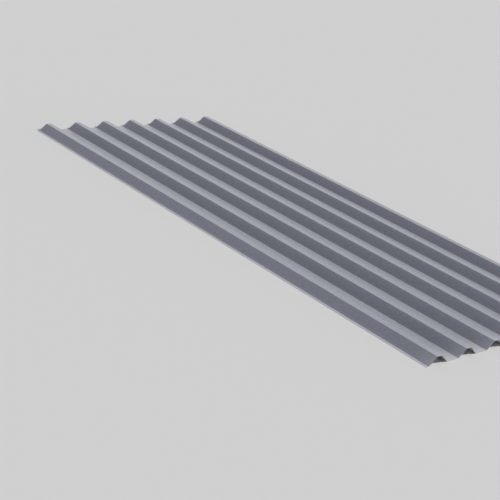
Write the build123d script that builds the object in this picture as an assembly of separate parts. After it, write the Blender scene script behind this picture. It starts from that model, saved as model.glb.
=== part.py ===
from build123d import *
import math
import os

# One roofing sheet, cold-rolled from a single coil into straight ribs with slanted sides.
# Millimetres. +Y runs along the ribs, +X across them and +Z up. The sheet lies flat, with the
# underside of its valleys on Z = 0 and the origin under the middle of the sheet.
# In a side lap, the edge at -X lies on top and the edge at +X lies under it.

# The stock
sheet_length = 2500.0
sheet_thickness = 0.7
inner_bend_radius = 4.0

# The ribs: the width that the sheet covers, and the outside sizes of a rib
cover_width = 1000.0
cover_ribs = 6
rib_height = 33.0
crest_width = 27.5
side_width = 37.0

# The two long edges: a flat lip beside the first rib, and a short leg after the last crest
overlap_lip = 12.0
underlap_leg = 13.0

# The middle of the sheet's thickness, which the section is drawn along
rib_pitch = cover_width / cover_ribs
valley_level = sheet_thickness / 2
crest_level = rib_height - sheet_thickness / 2
middle_bend_radius = inner_bend_radius + sheet_thickness / 2

# The last leg slants as the sides of the ribs do, and its cut edge is square to it
side_angle = math.atan2(crest_level - valley_level, side_width)
leg_reach = underlap_leg * math.cos(side_angle)
leg_drop = underlap_leg * math.sin(side_angle)
leg_edge_reach = sheet_thickness / 2 * math.sin(side_angle)

full_width = overlap_lip + cover_width + side_width + crest_width + leg_reach + leg_edge_reach
first_foot = overlap_lip - full_width / 2


def rib_corners(number):
    """The foot and the two crest corners of a rib, counted from 0 at the overlap edge."""
    foot = first_foot + number * rib_pitch
    crest_start = foot + side_width
    return [(foot, valley_level), (crest_start, crest_level), (crest_start + crest_width, crest_level)]


def cover_rib(number):
    """A whole rib, which comes down again to the valley after it."""
    corners = rib_corners(number)
    crest_end = corners[-1][0]
    return corners + [(crest_end + side_width, valley_level)]


def underlap_rib():
    """The part rib at the edge that goes under in a side lap, cut off below its crest."""
    corners = rib_corners(cover_ribs)
    crest_end = corners[-1][0]
    return corners + [(crest_end + leg_reach, crest_level - leg_drop)]


def middle_line():
    """The bent line from the edge of the lip to the edge of the leg."""
    corners = [(first_foot - overlap_lip, valley_level)]
    for number in range(cover_ribs):
        corners += cover_rib(number)
    corners += underlap_rib()
    return FilletPolyline(*corners, radius=middle_bend_radius)


def rolled_sheet():
    """The section, as thick as the stock all along, run the length of the sheet."""
    section = trace(middle_line(), sheet_thickness)
    return extrude(Plane.XZ * section, amount=sheet_length / 2, both=True).solid()


corrugated_sheet = rolled_sheet()

os.makedirs("parts", exist_ok=True)
export_step(corrugated_sheet, "parts/corrugated_sheet.step")

box = corrugated_sheet.bounding_box()
print("corrugated_sheet", corrugated_sheet.is_valid, round(corrugated_sheet.volume), "mm3")
print("from", tuple(round(value, 3) for value in box.min), "to", tuple(round(value, 3) for value in box.max))
print("coil width", round(middle_line().length, 1), "mm")
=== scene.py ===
"""A ribbed steel roofing sheet with its coatings, lying on a plain pale floor."""

import math

import bpy
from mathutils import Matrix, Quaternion, Vector


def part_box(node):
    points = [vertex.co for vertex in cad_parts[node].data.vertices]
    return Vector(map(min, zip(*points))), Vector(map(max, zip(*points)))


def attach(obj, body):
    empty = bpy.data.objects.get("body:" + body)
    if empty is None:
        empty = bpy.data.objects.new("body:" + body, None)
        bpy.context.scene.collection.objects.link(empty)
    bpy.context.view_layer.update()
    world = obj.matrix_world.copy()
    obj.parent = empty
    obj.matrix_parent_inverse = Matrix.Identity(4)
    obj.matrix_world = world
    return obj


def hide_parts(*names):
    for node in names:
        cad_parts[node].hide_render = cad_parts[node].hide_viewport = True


bl_info = {
    "name": "Corrugated roofing sheet",
    "version": (1, 0, 0),
    "blender": (4, 5, 0),
    "location": "3D View > Sidebar > Roofing sheet",
    "description": "Rolls a ribbed steel roofing sheet, coats it and sets it in a plain studio",
    "category": "Add Mesh",
}

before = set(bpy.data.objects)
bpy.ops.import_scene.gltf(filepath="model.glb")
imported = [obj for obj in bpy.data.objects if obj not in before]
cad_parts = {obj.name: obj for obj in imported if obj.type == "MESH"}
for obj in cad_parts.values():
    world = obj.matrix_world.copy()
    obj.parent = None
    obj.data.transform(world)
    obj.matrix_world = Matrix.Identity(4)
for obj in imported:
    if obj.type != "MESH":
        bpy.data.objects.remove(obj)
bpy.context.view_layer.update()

# The CAD node that the rolled sheet stands for, and its body
NODE = "corrugated_sheet"
BODY = "root"

SHEET_LOW, SHEET_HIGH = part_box(NODE)
SHEET_LENGTH = SHEET_HIGH.y - SHEET_LOW.y
SHEET_HEIGHT = SHEET_HIGH.z - SHEET_LOW.z

# Names of what the mesh carries for its materials: its place on the flat coil, and its bends
COIL_MAP = "coil"
BEND_MARK = "bend"

# Roughness of the top coat, the backing coat and the cut edges, before their patterns change it
SATIN = 0.33
MATT = 0.55
SHEARED = 0.3

# Painted light on the top coat, which the same mask also makes duller: how far it reaches up from the
# lower cut end, painted paler as if the open end caught more light, and in from the edge of the lip, a
# painted highlight; the power by which it falls off from the end, and the share of it that the crests
# lack, as their painted light is less than in the valleys
END_REACH = 0.12
LIP_REACH = 0.02
END_FALL = 2.0
CREST_LACK = 0.55

# The middle of what a noise gives
NOISE_MIDDLE = 0.5


def length_property(name, description, default):
    return bpy.props.FloatProperty(
        name=name, description=description, default=default, min=0.0, precision=5,
        subtype="DISTANCE", unit="LENGTH")


def share_property(name, description, default, highest=1.0):
    return bpy.props.FloatProperty(
        name=name, description=description, default=default, min=0.0, max=highest, subtype="FACTOR")


def angle_property(name, description, degrees):
    return bpy.props.FloatProperty(
        name=name, description=description, default=math.radians(degrees),
        subtype="ANGLE", unit="ROTATION")


def colour_property(name, description, default):
    return bpy.props.FloatVectorProperty(
        name=name, description=description, default=default, size=3, min=0.0, max=1.0, subtype="COLOR")


class RollingSizes(bpy.types.PropertyGroup):
    """The sizes that the rolling mill gives the sheet."""

    length: length_property("Length", "Length of the sheet along its ribs", SHEET_LENGTH)
    height: length_property("Rib height", "Outside height of the ribs", SHEET_HEIGHT)
    thickness: length_property("Thickness", "Thickness of the steel", 0.0007)
    bend_radius: length_property("Bend radius", "Inner radius of every bend", 0.004)
    cover_width: length_property("Cover width", "Width that the sheet covers once lapped", 1.0)
    cover_ribs: bpy.props.IntProperty(
        name="Ribs", description="Whole ribs in the cover width", default=6, min=1)
    crest_width: length_property("Crest width", "Flat width on top of a rib", 0.0275)
    side_width: length_property("Side width", "Width that the slanted side of a rib takes up", 0.037)
    overlap_lip: length_property("Overlap lip", "Flat lip beside the first rib", 0.012)
    underlap_leg: length_property("Underlap leg", "Leg after the last crest, along its slant", 0.013)
    oil_canning: length_property("Oil canning", "How far the flats wander inwards between bends", 0.00025)


class CoatingColours(bpy.types.PropertyGroup):
    """The colours of the sheet's coatings, of its bare edges and of the studio."""

    top: colour_property("Top coat", "Weather side, satin grey", (0.333, 0.342, 0.391))
    # Painted light: the pale colour that the top coat is painted towards, as a painted highlight on the
    # lip and as painted light at the lower cut end
    pale: colour_property(
        "Painted light", "Weather side on the lip and at the lower cut end", (0.54, 0.535, 0.57))
    backing: colour_property("Backing coat", "Underside, pale grey", (0.47, 0.48, 0.47))
    steel: colour_property("Cut edge", "Bare zinc and steel of the cut edges", (0.56, 0.57, 0.59))
    floor: colour_property("Floor", "Plain studio floor", (0.757, 0.731, 0.729))
    backdrop: colour_property(
        "Backdrop", "What stands behind the floor, in view and in reflections", (0.63, 0.625, 0.63))


class StudioSettings(bpy.types.PropertyGroup):
    """The camera's stance and the lights' strengths."""

    lens: bpy.props.FloatProperty(
        name="Lens", description="Focal length for a 36 mm wide sensor", default=84.15,
        subtype="DISTANCE_CAMERA")
    stand: bpy.props.FloatVectorProperty(
        name="Camera place", description="Where the camera stands", size=3,
        default=(-3.6315, -3.2996, 1.6963), subtype="TRANSLATION", unit="LENGTH")
    heading: angle_property("Heading", "Turn of the view from +Y towards +X", 45.938)
    look_down: angle_property("Look down", "Tilt of the view below level", 21.088)
    roll: angle_property("Roll", "Turn of the camera about its view", 11.762)
    key: bpy.props.FloatProperty(
        name="Key light", description="Strength of the wide sun lamp", default=2.94, min=0.0)
    fill: share_property("Fill", "Strength of the even light from all round", 0.22)
    low_fill: share_property("Low fill", "Strength of the light from near the horizon", 3.33, highest=6.0)
    panel: share_property(
        "Panel", "How much brighter than the backdrop the panel beyond the far end reflects", 0.6)


class Value:
    """A socket of a node tree.

    Arithmetic on it adds Math nodes to its tree, and a comparison gives 1 or 0.
    """

    def __init__(self, tree, socket):
        self.tree = tree
        self.socket = socket

    def math(self, operation, *others):
        return self.tree.add("ShaderNodeMath", {"operation": operation}, dict(enumerate((self, *others))))

    def reflected(self, operation, other):
        """A Math node with this value in second place."""
        return self.tree.add("ShaderNodeMath", {"operation": operation}, {0: other, 1: self})

    def output(self, name):
        """Another output of the node that this value comes from."""
        return Value(self.tree, self.socket.node.outputs[name])

    def __add__(self, other):
        return self.math("ADD", other)

    def __sub__(self, other):
        return self.math("SUBTRACT", other)

    def __mul__(self, other):
        return self.math("MULTIPLY", other)

    def __truediv__(self, other):
        return self.math("DIVIDE", other)

    def __mod__(self, other):
        return self.math("FLOORED_MODULO", other)

    def __neg__(self):
        return self.math("MULTIPLY", -1.0)

    def __gt__(self, other):
        return self.math("GREATER_THAN", other)

    def __lt__(self, other):
        return self.math("LESS_THAN", other)

    def __radd__(self, other):
        return self.reflected("ADD", other)

    def __rsub__(self, other):
        return self.reflected("SUBTRACT", other)

    def __rmul__(self, other):
        return self.reflected("MULTIPLY", other)


class Tree:
    """A node tree under construction."""

    def __init__(self, tree):
        self.tree = tree

    def add(self, kind, settings=None, sockets=None, output=0):
        """Adds a node of a type, with its settings and its sockets' values or links. Gives one output."""
        node = self.tree.nodes.new(kind)
        for name, setting in (settings or {}).items():
            setattr(node, name, setting)
        for name, content in (sockets or {}).items():
            for each in content if isinstance(content, list) else [content]:
                self.fill(node.inputs[name], each)
        return Value(self, node.outputs[output]) if node.outputs else None

    def fill(self, socket, content):
        if isinstance(content, Value):
            self.tree.links.new(content.socket, socket)
        else:
            socket.default_value = content

    def parts(self, vector):
        """The X, Y and Z of a vector."""
        x = self.add("ShaderNodeSeparateXYZ", {}, {0: vector})
        return x, x.output("Y"), x.output("Z")


class ShaderTree(Tree):
    """A material's or the world's nodes, starting from none."""

    # A Mix node's sockets for colours, by number, because those for its other kinds have the same names
    MIX_SHARE = 0
    MIX_FIRST = 6
    MIX_SECOND = 7
    MIX_RESULT = 2

    def __init__(self, owner):
        owner.use_nodes = True
        owner.node_tree.nodes.clear()
        super().__init__(owner.node_tree)

    def coil_noise(self, across, along, detail=2.0, crispness=0.5):
        """Noise on the flat coil, with so many cells to the metre across it and along it."""
        coil = self.add("ShaderNodeUVMap", {"uv_map": COIL_MAP})
        cells = self.add("ShaderNodeVectorMath", {"operation": "MULTIPLY"}, {
            0: coil, 1: (across, along, 1.0)})
        return self.add("ShaderNodeTexNoise", {"noise_dimensions": "2D"}, {
            "Vector": cells, "Scale": 1.0, "Detail": detail, "Roughness": crispness})

    def mix_colours(self, share, first, second):
        """Between two colours, each of them three numbers or what another mix gives."""
        return self.add("ShaderNodeMix", {"data_type": "RGBA"}, {
            self.MIX_SHARE: share,
            self.MIX_FIRST: opaque(first),
            self.MIX_SECOND: opaque(second)}, output=self.MIX_RESULT)

    def toned(self, colour, tone, darkest, lightest):
        """A colour that is its darkest share where a pattern is 0, and its lightest where it is 1."""
        return self.mix_colours(tone, shade(colour, darkest), shade(colour, lightest))

    def bump(self, height, distance, strength):
        return self.add("ShaderNodeBump", {}, {
            "Height": height, "Distance": distance, "Strength": strength})

    def finish(self, shader, kind="ShaderNodeOutputMaterial"):
        self.add(kind, {}, {"Surface": shader})

    def finish_in(self, sockets):
        """Ends a material in one Principled shader."""
        self.finish(self.add("ShaderNodeBsdfPrincipled", {}, sockets))


def opaque(colour):
    """A colour that a socket takes: three numbers get their alpha, and a value stays as it is."""
    return colour if isinstance(colour, Value) else (*colour, 1.0)


def shade(colour, share):
    """A colour times a share, which makes it darker or lighter."""
    return tuple(channel * share for channel in colour)


def swing(noise, width):
    """A noise made to swing about nothing, over a width."""
    return (noise - NOISE_MIDDLE) * width


def new_material(name):
    """A material, and the tree that its nodes go in."""
    material = bpy.data.materials.new(name)
    return material, ShaderTree(material)


def painted_edge_light(tree):
    """How much painted light the coat gets, and how much duller it is: a painted highlight on the lip,
    and painted light at the lower cut end, most in the valleys.
    """
    x, y, z = tree.parts(tree.add("ShaderNodeTexCoord", output="Object"))
    from_end = (y - SHEET_LOW.y) / END_REACH
    from_lip = (x - SHEET_LOW.x) / LIP_REACH
    level = z / SHEET_HEIGHT
    end = (1.0 - from_end).math("MAXIMUM", 0.0).math("POWER", END_FALL) * (1.0 - level * CREST_LACK)
    return end.math("MAXIMUM", 1.0 - from_lip)


def top_coat(colour, pale):
    """Satin coil coating: clouds and a mottle of tone, faint streaks along the coil and a fine grain,
    painted paler on the lip and at the lower cut end as painted light.
    """
    material, tree = new_material("top_coat")
    clouds = tree.coil_noise(across=5.0, along=1.2)
    mottle = tree.coil_noise(across=130.0, along=60.0, detail=4.0, crispness=0.6)
    streaks = tree.coil_noise(across=260.0, along=2.0, detail=3.0)
    grain = tree.coil_noise(across=1100.0, along=1100.0, detail=1.0)
    rubbed = tree.add("ShaderNodeAttribute", {"attribute_name": BEND_MARK}, output="Fac")
    # Painted light: a painted highlight on the lip and painted light at the lower cut end; the same mask
    # raises the roughness there
    edge_light = painted_edge_light(tree)
    tone = clouds * 0.1 + mottle * 0.6 + streaks * 0.15 + grain * 0.15
    coat = tree.toned(colour, tone, darkest=0.6, lightest=1.4)
    roughness = SATIN + swing(streaks, 0.08) + swing(clouds, 0.06) - rubbed * 0.05 + edge_light * 0.25
    tree.finish_in({
        # Base colour painted towards the pale colour as painted light on the lip and at the lower cut end
        "Base Color": tree.mix_colours(edge_light, coat, pale),
        "Roughness": roughness,
        "Normal": tree.bump(grain + streaks * 0.5, distance=0.00002, strength=0.3),
        "Coat Weight": 0.2,
        "Coat Roughness": 0.3})
    return material


def backing_coat(colour):
    """Thin matt backing coat, a little uneven along the coil."""
    material, tree = new_material("backing_coat")
    clouds = tree.coil_noise(across=9.0, along=2.0)
    streaks = tree.coil_noise(across=180.0, along=1.5, detail=3.0)
    grain = tree.coil_noise(across=900.0, along=900.0, detail=1.0)
    tone = clouds * 0.4 + streaks * 0.4 + grain * 0.2
    tree.finish_in({
        "Base Color": tree.toned(colour, tone, darkest=0.88, lightest=1.1),
        "Roughness": MATT + swing(streaks, 0.1),
        "Normal": tree.bump(grain, distance=0.00005, strength=0.4)})
    return material


def cut_steel(colour):
    """Bare steel and zinc, with the marks of the shear across the edge."""
    material, tree = new_material("cut_steel")
    marks = tree.coil_noise(across=2500.0, along=2500.0)
    dull = tree.coil_noise(across=60.0, along=60.0)
    tree.finish_in({
        "Base Color": tree.toned(colour, marks * 0.6 + dull * 0.4, darkest=0.7, lightest=1.15),
        "Roughness": SHEARED + marks * 0.25,
        "Metallic": 0.9,
        "Normal": tree.bump(marks, distance=0.00004, strength=0.6)})
    return material


class RollingTree(Tree):
    """The Geometry Nodes that roll the sheet from its sizes."""

    SIZES = ("Length", "Height", "Thickness", "Bend Radius", "Cover Width", "Crest Width", "Side Width",
             "Overlap Lip", "Underlap Leg", "Oil Canning")
    MATERIALS = ("Top Coat", "Backing Coat", "Cut Steel")

    # Corners of a rib: its foot, the two of its crest and its far foot
    RIB_CORNERS = 4

    # How fine the mesh is: points on each bend, cuts in each flat, and sections along the sheet
    ARC_POINTS = 8
    FLAT_CUTS = 3
    STATIONS = 57

    # A stretch of the section that is longer than this lies in a flat
    LONG_STRETCH = 0.008

    # How far the rolls rub the flats beside each bend
    BEND_REACH = 0.006

    # The wander of the flats, in cells to the metre across the sheet and along it
    WANDER_ACROSS = 7.0
    WANDER_ALONG = 2.2

    # Points nearer than this are one, and an edge that turns by more than this stays sharp
    WELD = 0.00001
    SHARP = math.radians(30)

    # Names of what the mesh carries from one step to the next
    OUTWARD = "outward"
    SPREAD = "spread"
    WEATHER_SIDE = "weather_side"
    CUT = "cut"

    def __init__(self):
        super().__init__(bpy.data.node_groups.new("rolling", "GeometryNodeTree"))
        self.identifiers = {}
        for name in self.SIZES:
            self.declare(name, "NodeSocketFloat")
        self.declare("Ribs", "NodeSocketInt")
        self.declare("Seed", "NodeSocketFloat")
        for name in self.MATERIALS:
            self.declare(name, "NodeSocketMaterial")
        self.tree.interface.new_socket("Sheet", in_out="OUTPUT", socket_type="NodeSocketGeometry")
        self.given = self.add("NodeGroupInput")
        self.measure()
        middle = self.rolled(self.section())
        self.add("NodeGroupOutput", {}, {"Sheet": self.coated(self.thickened(middle))})

    def declare(self, name, kind):
        socket = self.tree.interface.new_socket(name, in_out="INPUT", socket_type=kind)
        self.identifiers[name] = socket.identifier

    def measure(self):
        """The levels, the pitch and the reaches that follow from the sizes."""
        given = self.given.output
        self.half = given("Thickness") * 0.5
        self.side = given("Side Width")
        self.crest = given("Crest Width")
        self.rise = given("Height") - given("Thickness")
        self.pitch = given("Cover Width") / given("Ribs")
        slant = (self.side * self.side + self.rise * self.rise).math("SQRT")
        self.leg_share = given("Underlap Leg") / slant
        edge_reach = self.half * self.rise / slant
        full_width = (given("Overlap Lip") + given("Cover Width") + self.side + self.crest
                      + self.side * self.leg_share + edge_reach)
        self.first_foot = given("Overlap Lip") - full_width * 0.5

    def index(self):
        return self.add("GeometryNodeInputIndex")

    def position(self):
        return self.add("GeometryNodeInputPosition")

    def along(self):
        """How far a point of the section lies along it."""
        return self.add("GeometryNodeSplineParameter", output="Length")

    def outward(self):
        """The direction square to the section, towards the weather side."""
        x, _, z = self.parts(self.add("GeometryNodeInputTangent"))
        return self.vector(-z, 0.0, x)

    def vector(self, x, y, z):
        return self.add("ShaderNodeCombineXYZ", {}, {"X": x, "Y": y, "Z": z})

    def scaled(self, vector, share):
        return self.add("ShaderNodeVectorMath", {"operation": "SCALE"}, {0: vector, "Scale": share})

    def placed(self, geometry, position):
        return self.add("GeometryNodeSetPosition", {}, {"Geometry": geometry, "Position": position})

    def shifted(self, geometry, offset):
        return self.add("GeometryNodeSetPosition", {}, {"Geometry": geometry, "Offset": offset})

    def sampled(self, section, content, kind, column):
        return self.add("GeometryNodeSampleIndex", {"data_type": kind}, {
            "Geometry": section, "Value": content, "Index": column})

    def stored(self, geometry, name, kind, domain, content):
        return self.add("GeometryNodeStoreNamedAttribute", {"data_type": kind, "domain": domain}, {
            "Geometry": geometry, "Name": name, "Value": content})

    def named(self, name, kind):
        return self.add("GeometryNodeInputNamedAttribute", {"data_type": kind}, {"Name": name})

    def painted(self, geometry, finish, faces):
        """The chosen faces in one of the finishes."""
        return self.add("GeometryNodeSetMaterial", {}, {
            "Geometry": geometry, "Selection": faces, "Material": self.given.output(finish)})

    def section(self):
        """The bent line through the middle of the steel, from the edge of the lip to that of the leg."""
        corners = (self.given.output("Ribs") + 1.0) * self.RIB_CORNERS + 1.0
        line = self.add("GeometryNodeMeshLine", {}, {"Count": corners})
        sharp = self.add("GeometryNodeMeshToCurve", {}, {"Mesh": self.placed(line, self.corner(corners))})
        radius = self.given.output("Bend Radius") + self.half
        bent = self.add("GeometryNodeFilletCurve", {"mode": "POLY"}, {
            "Curve": sharp, "Count": self.ARC_POINTS, "Radius": radius})
        return self.add("GeometryNodeSubdivideCurve", {}, {"Curve": bent, "Cuts": self.flat_cuts()})

    def corner(self, corners):
        """Where a corner of the section lies.

        The edge of the lip counts as the last corner of a rib before the first. The comparisons
        lie half-way between whole numbers, where rounding can't turn them.
        """
        index = self.index()
        rib = ((index - 1.0) / self.RIB_CORNERS).math("FLOOR")
        number = index - 1.0 - rib * self.RIB_CORNERS
        risen = number > 0.5
        crossed = number > 1.5
        fallen = number > 2.5
        at_lip = index < 0.5
        at_leg = index > corners - 1.5
        cut_short = at_leg * (1.0 - self.leg_share)
        valley = self.pitch - self.side * 2.0 - self.crest
        x = (self.first_foot + rib * self.pitch + risen * self.side + crossed * self.crest
             + fallen * self.side + at_lip * (valley - self.given.output("Overlap Lip"))
             - cut_short * self.side)
        level = risen - fallen + cut_short
        return self.vector(x, 0.0, self.half + level * self.rise)

    def flat_cuts(self):
        """More points in the flats, and none in the bends."""
        following = self.add("GeometryNodeFieldAtIndex", {"data_type": "FLOAT"}, {
            "Index": self.index() + 1.0, "Value": self.along()})
        return (following - self.along() > self.LONG_STRETCH) * self.FLAT_CUTS

    def rolled(self, section):
        """The middle surface: the section repeated at every station along the sheet."""
        points = self.add("GeometryNodeAttributeDomainSize", {"component": "CURVE"}, {0: section})
        grid = self.add("GeometryNodeMeshGrid", {}, {
            "Size X": 1.0, "Size Y": self.given.output("Length"),
            "Vertices X": points, "Vertices Y": self.STATIONS})
        column = ((self.index() + 0.5) / self.STATIONS).math("FLOOR")
        outward = self.sampled(section, self.outward(), "FLOAT_VECTOR", column)
        grid = self.stored(grid, self.OUTWARD, "FLOAT_VECTOR", "POINT", outward)
        spread = self.sampled(section, self.along(), "FLOAT", column)
        grid = self.stored(grid, self.SPREAD, "FLOAT", "POINT", spread)
        _, y, _ = self.parts(self.position())
        coil = self.vector(self.named(self.SPREAD, "FLOAT"), y, 0.0)
        grid = self.stored(grid, COIL_MAP, "FLOAT2", "CORNER", coil)
        x, _, z = self.parts(self.sampled(section, self.position(), "FLOAT_VECTOR", column))
        grid = self.placed(grid, self.vector(x, y, z))
        bend = self.bend_mark()
        grid = self.stored(grid, BEND_MARK, "FLOAT", "POINT", bend)
        wander = self.scaled(self.named(self.OUTWARD, "FLOAT_VECTOR"), self.oil_canning() * (1.0 - bend))
        return self.shifted(grid, wander)

    def bend_mark(self):
        """One at a bend, falling to nothing a little way into the flats."""
        x, _, _ = self.parts(self.position())
        phase = (x - self.first_foot) % self.pitch
        mark = 0.0
        for corner in (0.0, self.side, self.side + self.crest, self.side * 2.0 + self.crest, self.pitch):
            near = 1.0 - (phase - corner).math("ABSOLUTE") / self.BEND_REACH
            mark = near.math("MAXIMUM", mark)
        return mark

    def oil_canning(self):
        """A slow wander of the flats, always towards the middle of the rib height."""
        x, y, z = self.parts(self.position())
        cells = self.vector(x * self.WANDER_ACROSS, y * self.WANDER_ALONG, self.given.output("Seed"))
        wave = self.add("ShaderNodeTexNoise", {}, {"Vector": cells, "Scale": 1.0, "Detail": 0.0})
        level = (z - self.half) / self.rise
        return wave * self.given.output("Oil Canning") * (1.0 - level * 2.0)

    def thickened(self, middle):
        """A closed shell: the middle surface moved half the thickness to each side, and the cut edges."""
        outward = self.named(self.OUTWARD, "FLOAT_VECTOR")
        raised = self.add("GeometryNodeExtrudeMesh", {"mode": "FACES"}, {
            "Mesh": middle, "Offset": outward, "Offset Scale": self.given.output("Thickness"),
            "Individual": False})
        top = raised.output("Top")
        side = raised.output("Side")
        raised = self.stored(raised, self.WEATHER_SIDE, "BOOLEAN", "FACE", top)
        raised = self.stored(raised, self.CUT, "BOOLEAN", "FACE", side)
        turned = self.add("GeometryNodeFlipFaces", {}, {"Mesh": middle})
        both = self.add("GeometryNodeJoinGeometry", {}, {"Geometry": [turned, raised]})
        centred = self.shifted(both, self.scaled(outward, -self.half))
        return self.add("GeometryNodeMergeByDistance", {}, {"Geometry": centred, "Distance": self.WELD})

    def coated(self, shell):
        """Smooth faces with sharp cut edges, in the three finishes."""
        sheet = self.add("GeometryNodeSetShadeSmooth", {"domain": "FACE"}, {
            "Geometry": shell, "Shade Smooth": True})
        turn = self.add("GeometryNodeInputMeshEdgeAngle")
        sheet = self.add("GeometryNodeSetShadeSmooth", {"domain": "EDGE"}, {
            "Geometry": sheet, "Selection": turn > self.SHARP, "Shade Smooth": False})
        sheet = self.add("GeometryNodeRealizeInstances", {}, {"Geometry": sheet})
        sheet = self.painted(sheet, "Backing Coat", True)
        sheet = self.painted(sheet, "Top Coat", self.named(self.WEATHER_SIDE, "BOOLEAN"))
        return self.painted(sheet, "Cut Steel", self.named(self.CUT, "BOOLEAN"))


def rolled_piece(name, inputs):
    """A plain mesh object with what the rolling tree makes of its inputs."""
    rolling = RollingTree()
    blank = bpy.data.objects.new("blank", bpy.data.meshes.new("blank"))
    bpy.context.scene.collection.objects.link(blank)
    modifier = blank.modifiers.new("rolling", "NODES")
    modifier.node_group = rolling.tree
    for input_name, content in inputs.items():
        modifier[rolling.identifiers[input_name]] = content
    evaluated = blank.evaluated_get(bpy.context.evaluated_depsgraph_get())
    mesh = bpy.data.meshes.new_from_object(evaluated)
    if not mesh.polygons:
        raise RuntimeError("The rolling tree made no sheet from these sizes")
    mesh.name = name
    blank.modifiers.remove(modifier)
    bpy.data.objects.remove(blank)
    piece = bpy.data.objects.new(name, mesh)
    bpy.context.scene.collection.objects.link(piece)
    return piece


class ROOFING_OT_sheet(bpy.types.Operator):
    """Roll the sheet, coat it and let it ride on its CAD body"""

    bl_idname = "roofing.sheet"
    bl_label = "Roll the sheet"

    WANDER_SEED = 4.0

    def execute(self, context):
        sizes = context.scene.rolling_sizes
        colours = context.scene.coating_colours
        piece = rolled_piece("rolled_sheet", {
            "Length": sizes.length,
            "Height": sizes.height,
            "Thickness": sizes.thickness,
            "Bend Radius": sizes.bend_radius,
            "Cover Width": sizes.cover_width,
            "Crest Width": sizes.crest_width,
            "Side Width": sizes.side_width,
            "Overlap Lip": sizes.overlap_lip,
            "Underlap Leg": sizes.underlap_leg,
            "Oil Canning": sizes.oil_canning,
            "Ribs": sizes.cover_ribs,
            "Seed": self.WANDER_SEED,
            "Top Coat": top_coat(colours.top, colours.pale),
            "Backing Coat": backing_coat(colours.backing),
            "Cut Steel": cut_steel(colours.steel)})
        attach(piece, BODY)
        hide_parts(NODE)
        return {"FINISHED"}


def floor_paint(colour):
    """Dead matt floor paint."""
    material, tree = new_material("studio_floor")
    tree.finish_in({"Base Color": opaque(colour), "Roughness": 0.9, "Specular IOR Level": 0.0})
    return material


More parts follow.
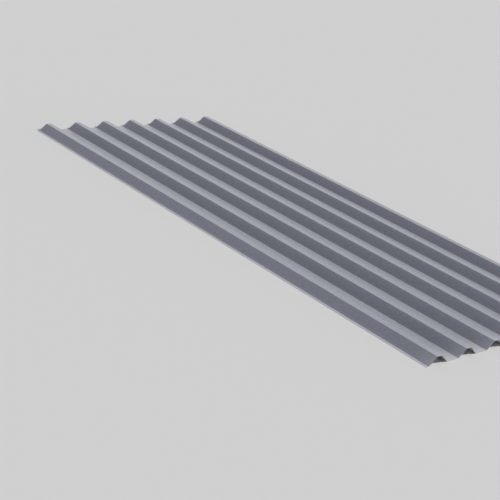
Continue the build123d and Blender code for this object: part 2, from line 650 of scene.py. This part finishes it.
class ROOFING_OT_stage(bpy.types.Operator):
    """Set the floor, the lights and the camera"""

    bl_idname = "roofing.stage"
    bl_label = "Set the stage"

    # The floor reaches past every view, and lies a hair below the sheet, so that their faces don't clash
    FLOOR_REACH = 60.0
    FLOOR_DROP = 0.0002

    # The key light: where it shines from, how wide its disc is and its tint
    KEY_FROM = Vector((0.69, -0.34, 0.64))
    KEY_SPREAD = math.radians(10)
    KEY_TINT = (0.99, 1.0, 0.96)

    # The sky: its tint, and how fast its low light falls off above the horizon
    SKY_TINT = (0.94, 1.0, 1.13, 1.0)
    LOW_FALL = 12.0

    # The panel that only shows as a reflection: its direction, and how fast it falls off round that
    PANEL_FROM = (0.498, 0.863, 0.087)
    PANEL_FALL = 12.0

    def execute(self, context):
        studio = context.scene.studio_settings
        colours = context.scene.coating_colours
        self.lay_floor(colours.floor)
        self.hang_key(studio.key)
        self.light_world(context.scene, studio, colours.backdrop)
        self.set_camera(context.scene, studio)
        context.scene.view_settings.view_transform = "Standard"
        return {"FINISHED"}

    def lay_floor(self, colour):
        reach = self.FLOOR_REACH
        level = SHEET_LOW.z - self.FLOOR_DROP
        mesh = bpy.data.meshes.new("floor")
        around = ((-reach, -reach), (reach, -reach), (reach, reach), (-reach, reach))
        mesh.from_pydata([(x, y, level) for x, y in around], [], [(0, 1, 2, 3)])
        mesh.materials.append(floor_paint(colour))
        floor = bpy.data.objects.new("floor", mesh)
        bpy.context.scene.collection.objects.link(floor)

    def hang_key(self, strength):
        lamp = bpy.data.lights.new("key", "SUN")
        lamp.energy = strength
        lamp.angle = self.KEY_SPREAD
        lamp.color = self.KEY_TINT
        key = bpy.data.objects.new("key", lamp)
        key.rotation_mode = "QUATERNION"
        key.rotation_quaternion = self.KEY_FROM.to_track_quat("Z", "Y")
        bpy.context.scene.collection.objects.link(key)

    def light_world(self, scene, studio, backdrop):
        """A cool sky, brighter near the horizon, and a plain backdrop for what is seen and reflected."""
        scene.world = bpy.data.worlds.new("studio")
        tree = ShaderTree(scene.world)
        rays = tree.add("ShaderNodeLightPath")
        glossy = rays.output("Is Glossy Ray")
        seen = rays.output("Is Camera Ray").math("MAXIMUM", glossy)
        seen = seen.math("MAXIMUM", rays.output("Is Transmission Ray"))
        direction = tree.add("ShaderNodeTexCoord", output="Generated")
        _, _, height = tree.parts(direction)
        low = (1.0 - height.math("MAXIMUM", 0.0)).math("POWER", self.LOW_FALL)
        towards_panel = tree.add("ShaderNodeVectorMath", {"operation": "DOT_PRODUCT"}, {
            0: direction, 1: self.PANEL_FROM}, output="Value")
        panel = towards_panel.math("MAXIMUM", 0.0).math("POWER", self.PANEL_FALL)
        sky = tree.add("ShaderNodeBackground", {}, {
            "Color": self.SKY_TINT, "Strength": low * studio.low_fill + studio.fill})
        plain = tree.add("ShaderNodeBackground", {}, {
            "Color": opaque(backdrop), "Strength": 1.0 + glossy * panel * studio.panel})
        both = tree.add("ShaderNodeMixShader", {}, {0: seen, 1: sky, 2: plain})
        tree.finish(both, "ShaderNodeOutputWorld")

    def set_camera(self, scene, studio):
        camera = bpy.data.objects.new("camera", bpy.data.cameras.new("camera"))
        camera.data.lens = studio.lens
        camera.data.clip_end = self.FLOOR_REACH * 2
        camera.location = studio.stand
        ahead = math.cos(studio.look_down)
        view = Vector((
            math.sin(studio.heading) * ahead,
            math.cos(studio.heading) * ahead,
            -math.sin(studio.look_down)))
        roll = Quaternion((0.0, 0.0, 1.0), studio.roll)
        camera.rotation_mode = "QUATERNION"
        camera.rotation_quaternion = view.to_track_quat("-Z", "Y") @ roll
        scene.collection.objects.link(camera)
        scene.camera = camera


SETTINGS = {
    "rolling_sizes": RollingSizes,
    "coating_colours": CoatingColours,
    "studio_settings": StudioSettings,
}


class ROOFING_PT_sheet(bpy.types.Panel):
    """The sheet's sizes, its colours and the studio"""

    bl_label = "Roofing sheet"
    bl_idname = "ROOFING_PT_sheet"
    bl_space_type = "VIEW_3D"
    bl_region_type = "UI"
    bl_category = "Roofing sheet"

    def draw(self, context):
        for setting, group in SETTINGS.items():
            box = self.layout.box()
            for name in group.__annotations__:
                box.prop(getattr(context.scene, setting), name)
        self.layout.operator(ROOFING_OT_sheet.bl_idname)
        self.layout.operator(ROOFING_OT_stage.bl_idname)


CLASSES = (*SETTINGS.values(), ROOFING_OT_sheet, ROOFING_OT_stage, ROOFING_PT_sheet)


def register():
    for each in CLASSES:
        bpy.utils.register_class(each)
    for name, group in SETTINGS.items():
        setattr(bpy.types.Scene, name, bpy.props.PointerProperty(type=group))


def unregister():
    for name in SETTINGS:
        delattr(bpy.types.Scene, name)
    for each in reversed(CLASSES):
        bpy.utils.unregister_class(each)


def main():
    register()
    bpy.ops.roofing.sheet()
    bpy.ops.roofing.stage()


if __name__ == "__main__":
    main()
